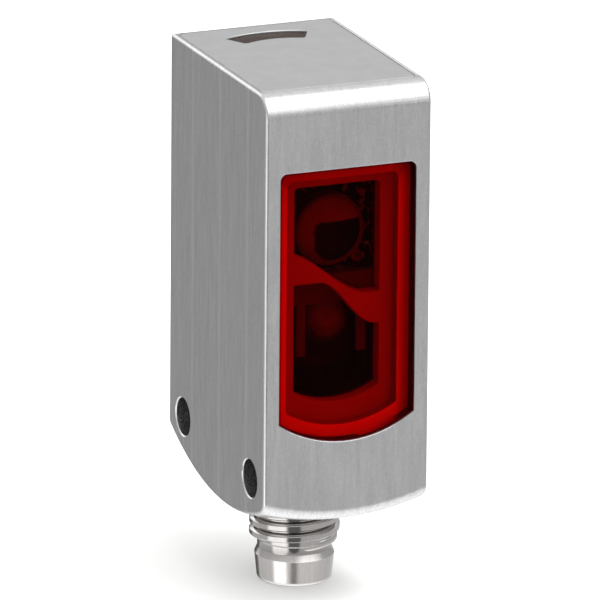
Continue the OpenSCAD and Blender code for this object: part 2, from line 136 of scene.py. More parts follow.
def finish_piece(bm, name, material, stands_for=(), smooth_below=28, flat=True):
    """Makes a piece of a mesh, rides it on the body and gives it its material.

    Edges that turn more than smooth_below degrees stay sharp. With flat set, large faces keep
    an even shade up to their rounded edges.
    """
    mesh = bpy.data.meshes.new(name)
    bm.to_mesh(mesh)
    bm.free()
    mesh.materials.clear()
    mesh.materials.append(material)
    mesh.shade_smooth()
    mesh.set_sharp_from_angle(angle=math.radians(smooth_below))
    piece = bpy.data.objects.new(name, mesh)
    bpy.context.scene.collection.objects.link(piece)
    if flat:
        even = piece.modifiers.new("even_faces", "WEIGHTED_NORMAL")
        even.keep_sharp = True
        even.weight = 100
    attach(piece, "root")
    if stands_for:
        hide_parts(*stands_for)
    return piece


# ---------------------------------------------------------------- materials

def grained(name, dark, light, grain, roughness, relief=0.002, stretch=(1, 1, 1), **shader):
    """A body colour that varies between two tones in grains of a real size in millimetres.

    stretch draws the grains out along an axis; any other value goes to the shader's own socket.
    """
    material, tree = new_material(name)
    place = add(tree, "ShaderNodeTexCoord")
    spread = add(tree, "ShaderNodeMapping", {"Vector": place.outputs["Object"],
                                             "Scale": [s / (grain * MM) for s in stretch]})
    grains = add(tree, "ShaderNodeTexNoise", {"Vector": spread.outputs[0], "Scale": 1.0,
                                              "Detail": 3.0, "Roughness": 0.6})
    level = add(tree, "ShaderNodeMapRange", {"Value": grains.outputs["Fac"], "From Min": 0.3,
                                             "From Max": 0.7})
    colour = add(tree, "ShaderNodeMix", {0: level.outputs[0], 6: srgb(dark), 7: srgb(light)},
                 data_type="RGBA")
    gloss = add(tree, "ShaderNodeMapRange", {"Value": level.outputs[0], "To Min": roughness[0],
                                             "To Max": roughness[1]})
    relief_node = add(tree, "ShaderNodeBump", {"Height": level.outputs[0], "Strength": 0.5,
                                               "Distance": relief * MM})
    surface = add(tree, "ShaderNodeBsdfPrincipled",
                  {"Base Color": colour.outputs[2], "Roughness": gloss.outputs[0],
                   "Normal": relief_node.outputs[0], **shader})
    show(tree, surface.outputs[0])
    return material


BELT_LINES = (6.3, 7.1)    # spacing of the pale belt lines along the depth, and their offset
BLAST_GRAIN = 0.16         # the real grain is about 0.05 mm, and is drawn coarser so that it shows


def brushed_steel(name, base, streak, cloud, roughness, strength, belt=0.0):
    """Stainless steel with fine upright streaks, as a belt leaves them, in a satin grain.

    streak and cloud are the widths of the fine and the broad streaks in millimetres. belt is how
    far a few pale lines, left by the belt's edge, lift the tone on both sides.
    """
    material, tree = new_material(name)
    place = add(tree, "ShaderNodeTexCoord")
    along = add(tree, "ShaderNodeMapping", {"Vector": place.outputs["Object"],
                                            "Scale": [1 / (streak * MM), 1 / (streak * MM),
                                                      1 / (60 * streak * MM)]})
    streaks = add(tree, "ShaderNodeTexNoise", {"Vector": along.outputs[0], "Scale": 1.0,
                                               "Detail": 2.0, "Roughness": 0.7})
    blast = add(tree, "ShaderNodeTexNoise", {"Vector": place.outputs["Object"],
                                             "Scale": 1 / (BLAST_GRAIN * MM),
                                             "Detail": 2.0})
    broad = add(tree, "ShaderNodeMapping", {"Vector": place.outputs["Object"],
                                            "Scale": [1 / (cloud * MM), 1 / (cloud * MM),
                                                      1 / (9 * cloud * MM)]})
    clouds = add(tree, "ShaderNodeTexNoise", {"Vector": broad.outputs[0], "Scale": 1.0,
                                              "Detail": 2.0})
    fine = add(tree, "ShaderNodeMath", {0: streaks.outputs["Fac"], 1: blast.outputs["Fac"]},
               operation="ADD")
    both = add(tree, "ShaderNodeMath", {0: fine.outputs[0], 1: clouds.outputs["Fac"]},
               operation="ADD")
    grain = add(tree, "ShaderNodeMapRange", {"Value": both.outputs[0], "From Min": 1.1,
                                             "From Max": 1.9})
    split = add(tree, "ShaderNodeSeparateXYZ", {0: place.outputs["Object"]})
    shifted = add(tree, "ShaderNodeMath", {0: split.outputs["Y"], 1: BELT_LINES[1] * MM},
                  operation="ADD")
    nearest = add(tree, "ShaderNodeMath", {0: shifted.outputs[0], 1: BELT_LINES[0] / 2 * MM},
                  operation="PINGPONG")
    line = add(tree, "ShaderNodeMapRange", {"Value": nearest.outputs[0], "From Min": 0.05 * MM,
                                            "From Max": 0.30 * MM, "To Min": belt,
                                            "To Max": 0.0})
    level = add(tree, "ShaderNodeMath", {0: grain.outputs[0], 1: line.outputs[0]},
                operation="ADD")
    dark = [c * (1 - strength) for c in srgb(base)[:3]] + [1]
    light = [min(1, c * (1 + strength)) for c in srgb(base)[:3]] + [1]
    colour = add(tree, "ShaderNodeMix", {0: level.outputs[0], 6: dark, 7: light},
                 data_type="RGBA")
    gloss = add(tree, "ShaderNodeMapRange", {"Value": streaks.outputs["Fac"],
                                             "From Min": 0.36, "From Max": 0.64,
                                             "To Min": roughness[1], "To Max": roughness[0]})
    relief = add(tree, "ShaderNodeBump", {"Height": fine.outputs[0], "Strength": 0.35,
                                          "Distance": 0.004 * MM})
    surface = add(tree, "ShaderNodeBsdfPrincipled",
                  {"Base Color": colour.outputs[2], "Roughness": gloss.outputs[0],
                   "Normal": relief.outputs[0], "Metallic": 1.0})
    show(tree, surface.outputs[0])
    return material


def sealing_bead():
    """Silicone bead behind the pane: soft pink-red, with painted shade darkening it towards the right edge.
    """
    material, tree = new_material("silicone_bead")
    place = add(tree, "ShaderNodeTexCoord")
    across = add(tree, "ShaderNodeSeparateXYZ", {0: place.outputs["Object"]})
    # painted shade: the bead turns darker over its right end, from 5.0 to 5.9 mm across
    fade = add(tree, "ShaderNodeMapRange", {"Value": across.outputs["X"], "From Min": 5.0 * MM,
                                            "From Max": 5.9 * MM})
    lumps = add(tree, "ShaderNodeTexNoise", {"Vector": place.outputs["Object"],
                                             "Scale": 1 / (0.3 * MM), "Detail": 2.0})
    colour = add(tree, "ShaderNodeMix", {0: fade.outputs[0], 6: srgb("#b2524c"),
                                         7: srgb("#7c3733")}, data_type="RGBA")
    gloss = add(tree, "ShaderNodeMapRange", {"Value": lumps.outputs["Fac"], "To Min": 0.4,
                                             "To Max": 0.65})
    body = add(tree, "ShaderNodeBsdfPrincipled", {"Base Color": colour.outputs[2],
                                                  "Roughness": gloss.outputs[0]})
    show(tree, body.outputs[0])
    return material


def red_acrylic():
    """Deep red cast acrylic: lets red through and nearly no other colour, with a faint gloss.

    Light crosses more of the pane at its rounded edge, which reads as a darker line round it.
    """
    material, tree = new_material("red_cast_acrylic")
    place = add(tree, "ShaderNodeTexCoord")
    haze = add(tree, "ShaderNodeTexNoise", {"Vector": place.outputs["Object"],
                                            "Scale": 1 / (2.5 * MM), "Detail": 2.0})
    turned = add(tree, "ShaderNodeSeparateXYZ", {0: place.outputs["Normal"]})
    facing = add(tree, "ShaderNodeMath", {0: turned.outputs["Y"]}, operation="ABSOLUTE")
    flat = add(tree, "ShaderNodeMapRange", {"Value": facing.outputs[0], "From Min": 0.85,
                                            "From Max": 0.995})
    clean = add(tree, "ShaderNodeMix", {0: haze.outputs["Fac"], 6: srgb("#f70300"),
                                        7: srgb("#fb0503")}, data_type="RGBA")
    filter_tint = add(tree, "ShaderNodeMix", {0: flat.outputs[0], 6: srgb("#b80006"),
                                              7: clean.outputs[2]}, data_type="RGBA")
    through = add(tree, "ShaderNodeBsdfTransparent", {"Color": filter_tint.outputs[2]})
    gloss = add(tree, "ShaderNodeMapRange", {"Value": haze.outputs["Fac"], "To Min": 0.06,
                                             "To Max": 0.14})
    body = add(tree, "ShaderNodeBsdfPrincipled", {"Base Color": srgb("#1c0101"), "IOR": 1.49,
                                                  "Roughness": gloss.outputs[0]})
    mixed = add(tree, "ShaderNodeMixShader", {0: 0.035, 1: through.outputs[0],
                                              2: body.outputs[0]})
    show(tree, mixed.outputs[0])
    return material


def moulded_lens(name, node, tint, highlight_tone, place_mm, fall_mm, above_mm):
    """Moulded polycarbonate lens: dark where it looks into the tube, with a painted highlight, a pale
    diffuse patch, where light catches it.

    Millimetres from the optical axis: the painted highlight grows as the distance from place_mm
    runs from fall_mm[0] to fall_mm[1], and covers everything higher than above_mm.
    """
    low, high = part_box(node)
    middle = (low + high) / 2
    material, tree = new_material(name)
    place = add(tree, "ShaderNodeTexCoord")
    centred = add(tree, "ShaderNodeMapping",
                  {"Vector": place.outputs["Object"], "Scale": [1, 0, 1],
                   "Location": [-middle.x - place_mm[0] * MM, 0, -middle.z - place_mm[1] * MM]})
    distance = add(tree, "ShaderNodeVectorMath", {0: centred.outputs[0]}, operation="LENGTH")
    flow = add(tree, "ShaderNodeTexNoise", {"Vector": place.outputs["Object"],
                                            "Scale": 1 / (0.7 * MM), "Detail": 4.0})
    ragged = add(tree, "ShaderNodeMath", {0: flow.outputs["Fac"], 1: 0.8 * MM},
                 operation="MULTIPLY")
    reach = add(tree, "ShaderNodeMath", {0: distance.outputs["Value"], 1: ragged.outputs[0]},
                operation="ADD")
    beyond = add(tree, "ShaderNodeMapRange", {"Value": reach.outputs[0],
                                              "From Min": (fall_mm[0] + 0.4) * MM,
                                              "From Max": (fall_mm[1] + 0.4) * MM})
    split = add(tree, "ShaderNodeSeparateXYZ", {0: place.outputs["Object"]})
    upper = add(tree, "ShaderNodeMapRange", {"Value": split.outputs["Z"],
                                             "From Min": middle.z + (above_mm - 0.1) * MM,
                                             "From Max": middle.z + (above_mm + 0.1) * MM})
    # painted highlight: where this mask is full, the lens is drawn as a pale diffuse face
    painted_highlight = add(tree, "ShaderNodeMath", {0: beyond.outputs[0], 1: upper.outputs[0]},
                operation="MAXIMUM")
    gloss = add(tree, "ShaderNodeMapRange", {"Value": flow.outputs["Fac"], "To Min": 0.02,
                                             "To Max": 0.10})
    through = add(tree, "ShaderNodeBsdfTransparent", {"Color": srgb(tint)})
    sheen = add(tree, "ShaderNodeBsdfPrincipled",
                {"Base Color": srgb("#0c0c0c"), "Roughness": gloss.outputs[0], "IOR": 1.58})
    clear = add(tree, "ShaderNodeMixShader", {0: 0.05, 1: through.outputs[0],
                                              2: sheen.outputs[0]})
    highlight_face = add(tree, "ShaderNodeBsdfPrincipled", {"Base Color": srgb(highlight_tone),
                                                      "Roughness": 0.5,
                                                      "Specular IOR Level": 0.1})
    mixed = add(tree, "ShaderNodeMixShader", {0: painted_highlight.outputs[0], 1: clear.outputs[0],
                                              2: highlight_face.outputs[0]})
    show(tree, mixed.outputs[0])
    return material


LIT_BLOTCH_REACH = 11.8         # how far the painted lit blotches reach below the carrier's top


def carrier_nylon():
    """Glass-filled nylon: dark grey faces, pockets painted black as painted shade, and paler blotches of
    painted light round the upper lens.
    """
    low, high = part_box("optics_carrier")
    material, tree = new_material("carrier_nylon")
    place = add(tree, "ShaderNodeTexCoord")
    split = add(tree, "ShaderNodeSeparateXYZ", {0: place.outputs["Object"]})
    # painted shade: from 0.5 to 1.4 mm behind the carrier's front the grey face tone turns to the black of
    # the pockets
    depth = add(tree, "ShaderNodeMapRange", {"Value": split.outputs["Y"],
                                             "From Min": low.y + 0.5 * MM,
                                             "From Max": low.y + 1.4 * MM})
    mottle = add(tree, "ShaderNodeTexNoise", {"Vector": place.outputs["Object"],
                                            "Scale": 1 / (0.8 * MM), "Detail": 4.0,
                                            "Roughness": 0.65})
    blotch = add(tree, "ShaderNodeMapRange", {"Value": mottle.outputs["Fac"], "From Min": 0.52,
                                              "From Max": 0.60})
    # painted light: paler blotches in the pockets of the upper part, round the upper lens
    above = add(tree, "ShaderNodeMath", {0: split.outputs["Z"], 1: high.z - LIT_BLOTCH_REACH * MM},
                operation="GREATER_THAN")
    painted_lit_blotch = add(tree, "ShaderNodeMath", {0: blotch.outputs[0], 1: above.outputs[0]},
                operation="MULTIPLY")
    pocket_painted_shade_and_light = add(tree, "ShaderNodeMix", {0: painted_lit_blotch.outputs[0], 6: srgb("#030202"),
                                         7: srgb("#463a38")}, data_type="RGBA")
    colour = add(tree, "ShaderNodeMix", {0: depth.outputs[0], 6: srgb("#332f2e"),
                                         7: pocket_painted_shade_and_light.outputs[2]}, data_type="RGBA")
    gloss = add(tree, "ShaderNodeMapRange", {"Value": mottle.outputs["Fac"], "To Min": 0.5,
                                             "To Max": 0.75})
    body = add(tree, "ShaderNodeBsdfPrincipled",
               {"Base Color": colour.outputs[2], "Roughness": gloss.outputs[0],
                "Specular IOR Level": 0.02})
    show(tree, body.outputs[0])
    return material


FINISHES = {
    # Ground stainless steel: even satin grey with upright streaks that break up reflections
    "housing_steel": brushed_steel("linished_steel", "#b8b8b9", 0.09, 0.5, (0.23, 0.43), 0.12,
                                   belt=0.9),
    # Blasted stainless steel: flat, lighter grey with hardly any direction
    "cover_steel": brushed_steel("blasted_steel", "#b6b6b7", 0.07, 1.6, (0.34, 0.42), 0.07),
    # Turned stainless steel: glossy, so its curves show hard light and dark stripes
    "connector_steel": brushed_steel("turned_steel", "#b4b1af", 0.25, 1.5, (0.06, 0.14), 0.06),
    # Cast acrylic: saturated red that the inside shines through darkly
    "red_acrylic": red_acrylic(),
    # Clear polycarbonate of the sender's lens: dark in the middle, with a painted highlight over
    # the axis and a painted reflection crescent on the left
    "clear_lens": moulded_lens("clear_polycarbonate", "sender_lens", "#a4a4a4", "#454545",
                               (0.95, -0.4), (2.45, 2.75), 0.9),
    # Receiver's lens: its dark tint is painted shade, so the compartment behind reads nearly
    # black, with a painted highlight on top
    "filter_lens": moulded_lens("shade_tinted_polycarbonate", "receiver_lens", "#5a4646", "#3c3535",
                                (0.0, 2.1), (2.3, 0.8), 99),
    # Cured silicone: the brightest red line, all round behind the pane
    "sealing_bead": sealing_bead(),
    # Moulded ABS light mask: mid grey with a fine spark-eroded grain
    "mask_plastic": grained("mask_abs", "#6a6664", "#767270", 0.12, (0.5, 0.65)),
    # Glass-filled nylon: black with faint pale fibres
    "black_plastic": grained("black_nylon", "#0d0c0c", "#1b1918", 0.10, (0.5, 0.7)),
    # Nylon of the optics carrier: fingers just visible, pockets painted black as painted shade,
    # with painted light round the upper lens
    "carrier_plastic": carrier_nylon(),
    # Nylon insulator of the plug: black and plain
    "insert_plastic": grained("insert_nylon", "#161616", "#242424", 0.12, (0.4, 0.55)),
    # Tinted acrylic of the status lens: nearly black and glossy
    "smoked_acrylic": grained("smoked_acrylic", "#2e2420", "#3a2f2b", 0.8, (0.2, 0.35),
                              **{"Specular IOR Level": 0.02}),
    # Ceramic package of the light source: pale cream
    "led_ceramic": grained("led_ceramic", "#dccbb4", "#efe2cf", 0.15, (0.5, 0.7)),
    # Detector die under clear resin: dark violet gloss
    "silicon": grained("detector_silicon", "#1f1a2a", "#372f45", 0.5, (0.12, 0.22)),
    # Sheet steel of the detector shield, coloured near black as painted shade so the compartment
    # behind the lens reads black; dull
    "blackened_steel": grained("shade_dark_sheet", "#1c1c1e", "#2c2c2e", 0.4, (0.4, 0.6), Metallic=0.5),
    # Epoxy glass board under green solder mask
    "circuit_board": grained("solder_mask", "#12502b", "#1f7a42", 0.35, (0.3, 0.45)),
    # Moulded epoxy of chips and transistors: matt black
    "chip_epoxy": grained("chip_epoxy", "#18181a", "#26262a", 0.08, (0.55, 0.7)),
    # Fired ceramic capacitors: tan
    "capacitor_ceramic": grained("capacitor_ceramic", "#9c7547", "#bf9765", 0.25, (0.4, 0.6)),
    # Glazed chip resistors: black with a slight shine
    "resistor_film": grained("resistor_glaze", "#1a1a1d", "#2e2e33", 0.2, (0.2, 0.35)),
    # Enamelled copper wire wound on a drum, in turns of 0.2 mm
    "choke_winding": grained("enamelled_wire", "#5a2f18", "#a8683c", 0.2, (0.25, 0.4),
                             stretch=(0.1, 1, 0.1), Metallic=0.6),
    # Reflowed solder: bright silver grey
    "solder": grained("solder", "#a9a9a6", "#cfcfcb", 0.3, (0.2, 0.4), Metallic=1.0),
    # Gold flash on the contact pins: warm yellow metal
    "gold_contacts": grained("gold_flash", "#d0a24a", "#e6c070", 0.2, (0.18, 0.3), Metallic=1.0),
    # Clear resin of the two status lamps: pale green and amber
    "green_led_resin": grained("green_resin", "#74c867", "#a9e69b", 0.4, (0.2, 0.35)),
    "yellow_led_resin": grained("yellow_resin", "#dba81f", "#f6cf4c", 0.4, (0.2, 0.35)),
    # Nitrile rubber ring: matt black
    "seal_rubber": grained("nitrile_rubber", "#171717", "#262626", 0.12, (0.6, 0.8)),
}

# ---------------------------------------------------------------- steel housing and cover

BELLY_R = 26 * MM          # domed underside
BELLY_BACK = 9.4 * MM      # lowest point of the dome behind the front face
FRONT_ROUND = 2.0 * MM     # long edge over the window
REAR_ROUND = 0.8 * MM
FOOT_ROUND = 0.85 * MM     # front and rear edges of the underside
SIDE_ROUND = 0.3 * MM      # edges of both side faces
HAIR = 0.004 * MM          # the rounded blank stands this far outside the flat CAD faces
BELLY_HAIR = 0.03 * MM     # and this far outside the dome
FOOT_CUTS = 13             # cuts across the underside that follow the dome
RIM_BREAK = 0.10 * MM      # broken edge along the window and cover seams


def rounded_blank(low, high):
    """The housing's outside with every outer edge rounded."""
    bm = bmesh.new()
    bmesh.ops.create_cube(bm, size=1)
    bmesh.ops.scale(bm, vec=high - low + Vector((2, 2, 2)) * HAIR, verts=bm.verts)
    bmesh.ops.translate(bm, vec=(low + high) / 2, verts=bm.verts)
    foot = low.z
    under = [e for e in bm.edges if all(v.co.z < foot for v in e.verts)]
    bmesh.ops.subdivide_edges(bm, edges=under, cuts=FOOT_CUTS, use_grid_fill=True)
    centre = Vector((0, low.y + BELLY_BACK, foot + BELLY_R))
    for v in bm.verts:
        if v.co.z < foot:
            reach = (BELLY_R + BELLY_HAIR) ** 2 - v.co.x ** 2 - (v.co.y - centre.y) ** 2
            v.co.z = centre.z - math.sqrt(reach)

    def bevel(edges, radius, segments):
        bmesh.ops.bevel(bm, geom=edges, offset=radius, offset_type="OFFSET", segments=segments,
                        profile=0.5, affect="EDGES", material=-1, clamp_overlap=False)

    def across(depth, above):
        """Sharp edges that run from side to side at one depth, at the top or at the foot."""
        middle = (low.z + high.z) / 2
        return [e for e in bm.edges
                if all(abs(v.co.y - depth) < 2 * HAIR and (v.co.z > middle) == above
                       for v in e.verts)
                and abs(e.verts[0].co.x - e.verts[1].co.x) > 2 * HAIR
                and e.calc_face_angle() > 0.5]

    for depth, radius in ((low.y, FRONT_ROUND), (high.y, REAR_ROUND)):
        bevel(across(depth, True), radius, 24)
        bevel(across(depth, False), FOOT_ROUND, 6)
    side = [e for e in bm.edges
            if sum(abs(f.normal.x) > 0.99 for f in e.link_faces) == 1]
    bevel(side, SIDE_ROUND, 4)
    bmesh.ops.recalc_face_normals(bm, faces=bm.faces)
    return bm


def scratch_object(bm, name):
    """A plain object of a mesh, outside the part."""
    mesh = bpy.data.meshes.new(name)
    bm.to_mesh(mesh)
    bm.free()
    piece = bpy.data.objects.new(name, mesh)
    bpy.context.scene.collection.objects.link(piece)
    return piece


def make_housing():
    """Housing with broken window rim, cut to the rounded outside."""
    low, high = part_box("housing")
    pane_low, pane_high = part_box("front_window")
    margin = 0.2 * MM
    bm = merged_copy("housing")

    def on_window_rim(e):
        return all(abs(v.co.y - low.y) < 0.001 * MM
                   and pane_low.x - margin < v.co.x < pane_high.x + margin
                   and v.co.z > pane_low.z - margin for v in e.verts)

    break_edges(bm, RIM_BREAK, on_window_rim)
    shell = scratch_object(bm, "shell")
    blank = scratch_object(rounded_blank(low, high), "blank")
    cut = shell.modifiers.new("outside", "BOOLEAN")
    cut.operation = "INTERSECT"
    cut.solver = "EXACT"
    cut.object = blank
    depsgraph = bpy.context.evaluated_depsgraph_get()
    result = bmesh.new()
    result.from_mesh(bpy.data.meshes.new_from_object(shell.evaluated_get(depsgraph)))
    bpy.data.objects.remove(shell)
    bpy.data.objects.remove(blank)
    bmesh.ops.remove_doubles(result, verts=result.verts, dist=0.002 * MM)
    bmesh.ops.dissolve_limit(result, angle_limit=math.radians(0.3), verts=result.verts,
                             edges=result.edges)
    return finish_piece(result, "steel_housing", FINISHES["housing_steel"],
                        ["housing"])


SLOT_CORNER = 0.3 * MM     # corner radius of the indicator slot


def make_cover():
    """Cover plate: the four corners of its slot are milled round before the rims are broken."""
    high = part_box("top_cover")[1]
    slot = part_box("indicator_lens")
    bm = merged_copy("top_cover")
    corners = [e for e in bm.edges if e.calc_face_angle() > 1
               and abs(e.verts[0].co.z - e.verts[1].co.z) > 0.5 * MM
               and all(slot[0].x < v.co.x < slot[1].x and slot[0].y < v.co.y < slot[1].y
                       for v in e.verts)]
    bmesh.ops.bevel(bm, geom=corners, offset=SLOT_CORNER, offset_type="OFFSET", segments=6,
                    profile=0.5, affect="EDGES", material=-1)
    break_edges(bm, RIM_BREAK, lambda e: all(abs(v.co.z - high.z) < 0.001 * MM for v in e.verts))
    return finish_piece(bm, "steel_cover", FINISHES["cover_steel"], ["top_cover"])


# ---------------------------------------------------------------- window and optics

PANE_EDGE = 0.22 * MM      # rounding of the pane's front edge
MASK_EDGE = 0.1 * MM       # rounding of the mask's front edges


def make_pane():
    """Pane whose front edge is polished round."""
    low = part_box("front_window")[0]
    bm = merged_copy("front_window")
    break_edges(bm, PANE_EDGE, lambda e: all(abs(v.co.y - low.y) < 0.001 * MM for v in e.verts),
                segments=3)
    return finish_piece(bm, "red_pane", FINISHES["red_acrylic"], ["front_window"])


def make_mask():
    """Light mask with soft edges along its openings and the divider."""
    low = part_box("light_mask")[0]
    bm = merged_copy("light_mask")
    break_edges(bm, MASK_EDGE, lambda e: all(abs(v.co.y - low.y) < 0.001 * MM for v in e.verts))
    return finish_piece(bm, "divided_mask", FINISHES["mask_plastic"],
                        ["light_mask"])


SENDER_LENS_R = 5.5 * MM   # radius of each lens's front surface
RECEIVER_LENS_R = 9 * MM


def make_sender_lens():
    """Round lens, turned about its optical axis."""
    low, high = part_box("sender_lens")
    radius = (high.x - low.x) / 2
    middle = (low.z + high.z) / 2
    bulge = SENDER_LENS_R - math.sqrt(SENDER_LENS_R ** 2 - radius ** 2)
    rise = math.asin(radius / SENDER_LENS_R)
    rings = 20
    outline = [(SENDER_LENS_R * math.sin(rise * i / rings),
                low.y + SENDER_LENS_R * (1 - math.cos(rise * i / rings))) for i in range(rings + 1)]
    outline += [(radius, high.y - 0.05 * MM), (radius - 0.05 * MM, high.y), (0, high.y)]
    bm = bmesh.new()
    points = [bm.verts.new((r, y, middle)) for r, y in outline]
    lines = [bm.edges.new(pair) for pair in zip(points, points[1:])]
    bmesh.ops.spin(bm, geom=points + lines, cent=(0, 0, middle), axis=(0, 1, 0),
                   angle=2 * math.pi, steps=72, use_merge=True)
    bmesh.ops.remove_doubles(bm, verts=bm.verts, dist=0.001 * MM)
    bmesh.ops.recalc_face_normals(bm, faces=bm.faces)
    return finish_piece(bm, "round_lens", FINISHES["clear_lens"], ["sender_lens"],
                        flat=False)


def make_receiver_lens():
    """Square-cut lens with a domed front."""
    low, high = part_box("receiver_lens")
    middle = (low + high) / 2
    bm = bmesh.new()
    bmesh.ops.create_grid(bm, x_segments=24, y_segments=24, size=0.5)
    bmesh.ops.rotate(bm, cent=(0, 0, 0), matrix=Matrix.Rotation(math.pi / 2, 3, "X"),
                     verts=bm.verts)
    bmesh.ops.scale(bm, vec=(high.x - low.x, 1, high.z - low.z), verts=bm.verts)
    bmesh.ops.translate(bm, vec=(middle.x, 0, middle.z), verts=bm.verts)
    for v in bm.verts:
        reach = RECEIVER_LENS_R ** 2 - (v.co.x - middle.x) ** 2 - (v.co.z - middle.z) ** 2
        v.co.y = low.y + RECEIVER_LENS_R - math.sqrt(reach)
    back = bmesh.ops.extrude_face_region(bm, geom=bm.faces[:], use_keep_orig=True)
    for v in back["geom"]:
        if isinstance(v, bmesh.types.BMVert):
            v.co.y = high.y
    bmesh.ops.recalc_face_normals(bm, faces=bm.faces)
    # the square lens's dark tint is painted shade
    return finish_piece(bm, "square_lens", FINISHES["filter_lens"],
                        ["receiver_lens"], flat=False)


# ---------------------------------------------------------------- connector

# Radii and heights over the connector's end, in millimetres
CONNECTOR_BORE = 2.75
COLLAR_R = 4.09
COLLAR_FOOT = 6.75
COLLAR_TOP = 10.6
GROOVE = (8.375, 9.575, 3.2)    # lower edge, upper edge and radius of the seal groove
ROOT_R = 3.4
NECK_R = 3.25
NECK_TOP = 3.5
LIP = (2.3, 3.5)                # height and radius of the snap lip
TIP_R = 3.3
TIP_ROUND = 0.3
THREAD_R = 3.965
THREAD_PITCH = 1.0
THREAD_FOOT = 3.5               # height of the first turn's middle
THREAD_TURNS = 3.4
THREAD_START = math.radians(247)
RUN_OUT = 0.35                  # share of a turn over which the thread fades into the root
TURN_STEPS = 72


def connector_axis():
    """Depth of the connector's upright axis."""
    low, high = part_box("connector_shell")
    return (low.y + high.y) / 2


def spin_outline(bm, outline, axis_y):
    """Turns a closed outline of (radius, height) in millimetres about the connector axis."""
    points = [bm.verts.new((r * MM, axis_y, z * MM)) for r, z in outline]
    lines = [bm.edges.new(pair) for pair in zip(points, points[1:] + points[:1])]
    bmesh.ops.spin(bm, geom=points + lines, cent=(0, axis_y, 0), axis=(0, 0, 1),
                   angle=2 * math.pi, steps=96, use_merge=True)
    bmesh.ops.remove_doubles(bm, verts=bm.verts, dist=0.0005 * MM)
    bmesh.ops.recalc_face_normals(bm, faces=bm.faces)


def make_connector_shell():
    """Turned sleeve: round end, snap lip, neck, thread root and the collar with its seal groove."""
    tip = [(TIP_R - TIP_ROUND + TIP_ROUND * math.sin(a), TIP_ROUND - TIP_ROUND * math.cos(a))
           for a in (math.radians(18 * i) for i in range(6))]
    outline = [(CONNECTOR_BORE + 0.1, 0)] + tip + [
        (LIP[1] - 0.01, LIP[0] - 0.08), (LIP[1], LIP[0] - 0.02), (LIP[1] - 0.03, LIP[0] + 0.04),
        (NECK_R + 0.03, LIP[0] + 0.5), (NECK_R, LIP[0] + 0.58), (NECK_R, NECK_TOP), (ROOT_R, NECK_TOP + 0.18),
        (ROOT_R, COLLAR_FOOT), (COLLAR_R - 0.1, COLLAR_FOOT), (COLLAR_R, COLLAR_FOOT + 0.1),
        (COLLAR_R, GROOVE[0]), (GROOVE[2], GROOVE[0]), (GROOVE[2], GROOVE[1]),
        (COLLAR_R, GROOVE[1]), (COLLAR_R, COLLAR_TOP), (CONNECTOR_BORE, COLLAR_TOP),
        (CONNECTOR_BORE, 0.1)]
    bm = bmesh.new()
    spin_outline(bm, outline, connector_axis())
    return finish_piece(bm, "connector_sleeve", FINISHES["connector_steel"],
                        ["connector_shell"], smooth_below=25)


def make_thread():
    """One helical ridge, rolled on the connector, that fades out at its lower end."""
    axis_y = connector_axis()
    root = NECK_R - 0.1      # the ridge starts hidden inside the neck
    section = [(root, -0.49), (ROOT_R + 0.02, -0.46), (THREAD_R - 0.07, -0.29),
               (THREAD_R, -0.2), (THREAD_R, 0.2), (THREAD_R - 0.07, 0.29),
               (ROOT_R + 0.02, 0.46), (root, 0.49)]
    bm = bmesh.new()
    points = [bm.verts.new((r * MM, axis_y, (z + THREAD_FOOT) * MM)) for r, z in section]
    lines = [bm.edges.new(pair) for pair in zip(points, points[1:] + points[:1])]
    steps = round(TURN_STEPS * THREAD_TURNS)
    bmesh.ops.spin(bm, geom=points + lines, cent=(0, axis_y, 0), axis=(0, 0, 1),
                   dvec=(0, 0, THREAD_PITCH * MM / TURN_STEPS),
                   angle=2 * math.pi * steps / TURN_STEPS, steps=steps, use_merge=False)
    bm.verts.ensure_lookup_table()
    for i, v in enumerate(bm.verts):
        step = i // len(section)
        fade = min(1, step / (TURN_STEPS * RUN_OUT))
        out = Vector((v.co.x, v.co.y - axis_y, 0))
        wanted = root * MM + (out.length - root * MM) * fade
        v.co.x, v.co.y = out.x * wanted / out.length, axis_y + out.y * wanted / out.length
    ends = [e for e in bm.edges if len(e.link_faces) == 1]
    bmesh.ops.holes_fill(bm, edges=ends, sides=len(section))
    bmesh.ops.rotate(bm, cent=(0, axis_y, 0), matrix=Matrix.Rotation(THREAD_START, 3, "Z"),
                     verts=bm.verts)
    bmesh.ops.recalc_face_normals(bm, faces=bm.faces)
    return finish_piece(bm, "rolled_thread", FINISHES["connector_steel"],
                        smooth_below=35)


# ---------------------------------------------------------------- carried-over parts

NODE_FINISH = {
    "indicator_lens": "smoked_acrylic", "window_gasket": "sealing_bead",
    "optics_carrier": "carrier_plastic", "sender_tube": "black_plastic",
    "led_aperture": "black_plastic", "sender_led": "led_ceramic", "receiver_chip": "silicon",
    # the detector shield's near-black finish is painted shade
    "receiver_shield": "blackened_steel", "optics_board": "circuit_board",
    "signal_chip": "chip_epoxy", "link_header": "black_plastic", "link_pins": "gold_contacts",
    "main_board": "circuit_board", "control_chip": "chip_epoxy", "driver_chip": "chip_epoxy",
    "output_transistors": "chip_epoxy", "capacitors": "capacitor_ceramic",
    "resistors": "resistor_film", "choke": "choke_winding", "rear_frame": "black_plastic",
    "indicator_board": "circuit_board", "edge_solder": "solder", "green_led": "green_led_resin",
    "yellow_led": "yellow_led_resin", "connector_seal": "seal_rubber",
    "connector_insert": "insert_plastic", "contact_pin_1": "gold_contacts",
    "contact_pin_2": "gold_contacts", "contact_pin_3": "gold_contacts",
    "contact_pin_4": "gold_contacts", "tail_solder": "solder",
}


def finish_nodes():
    """Gives every CAD node that stays visible its finish."""
    for node, finish in NODE_FINISH.items():
        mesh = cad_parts[node].data
        mesh.materials.clear()
        mesh.materials.append(FINISHES[finish])


# ---------------------------------------------------------------- studio

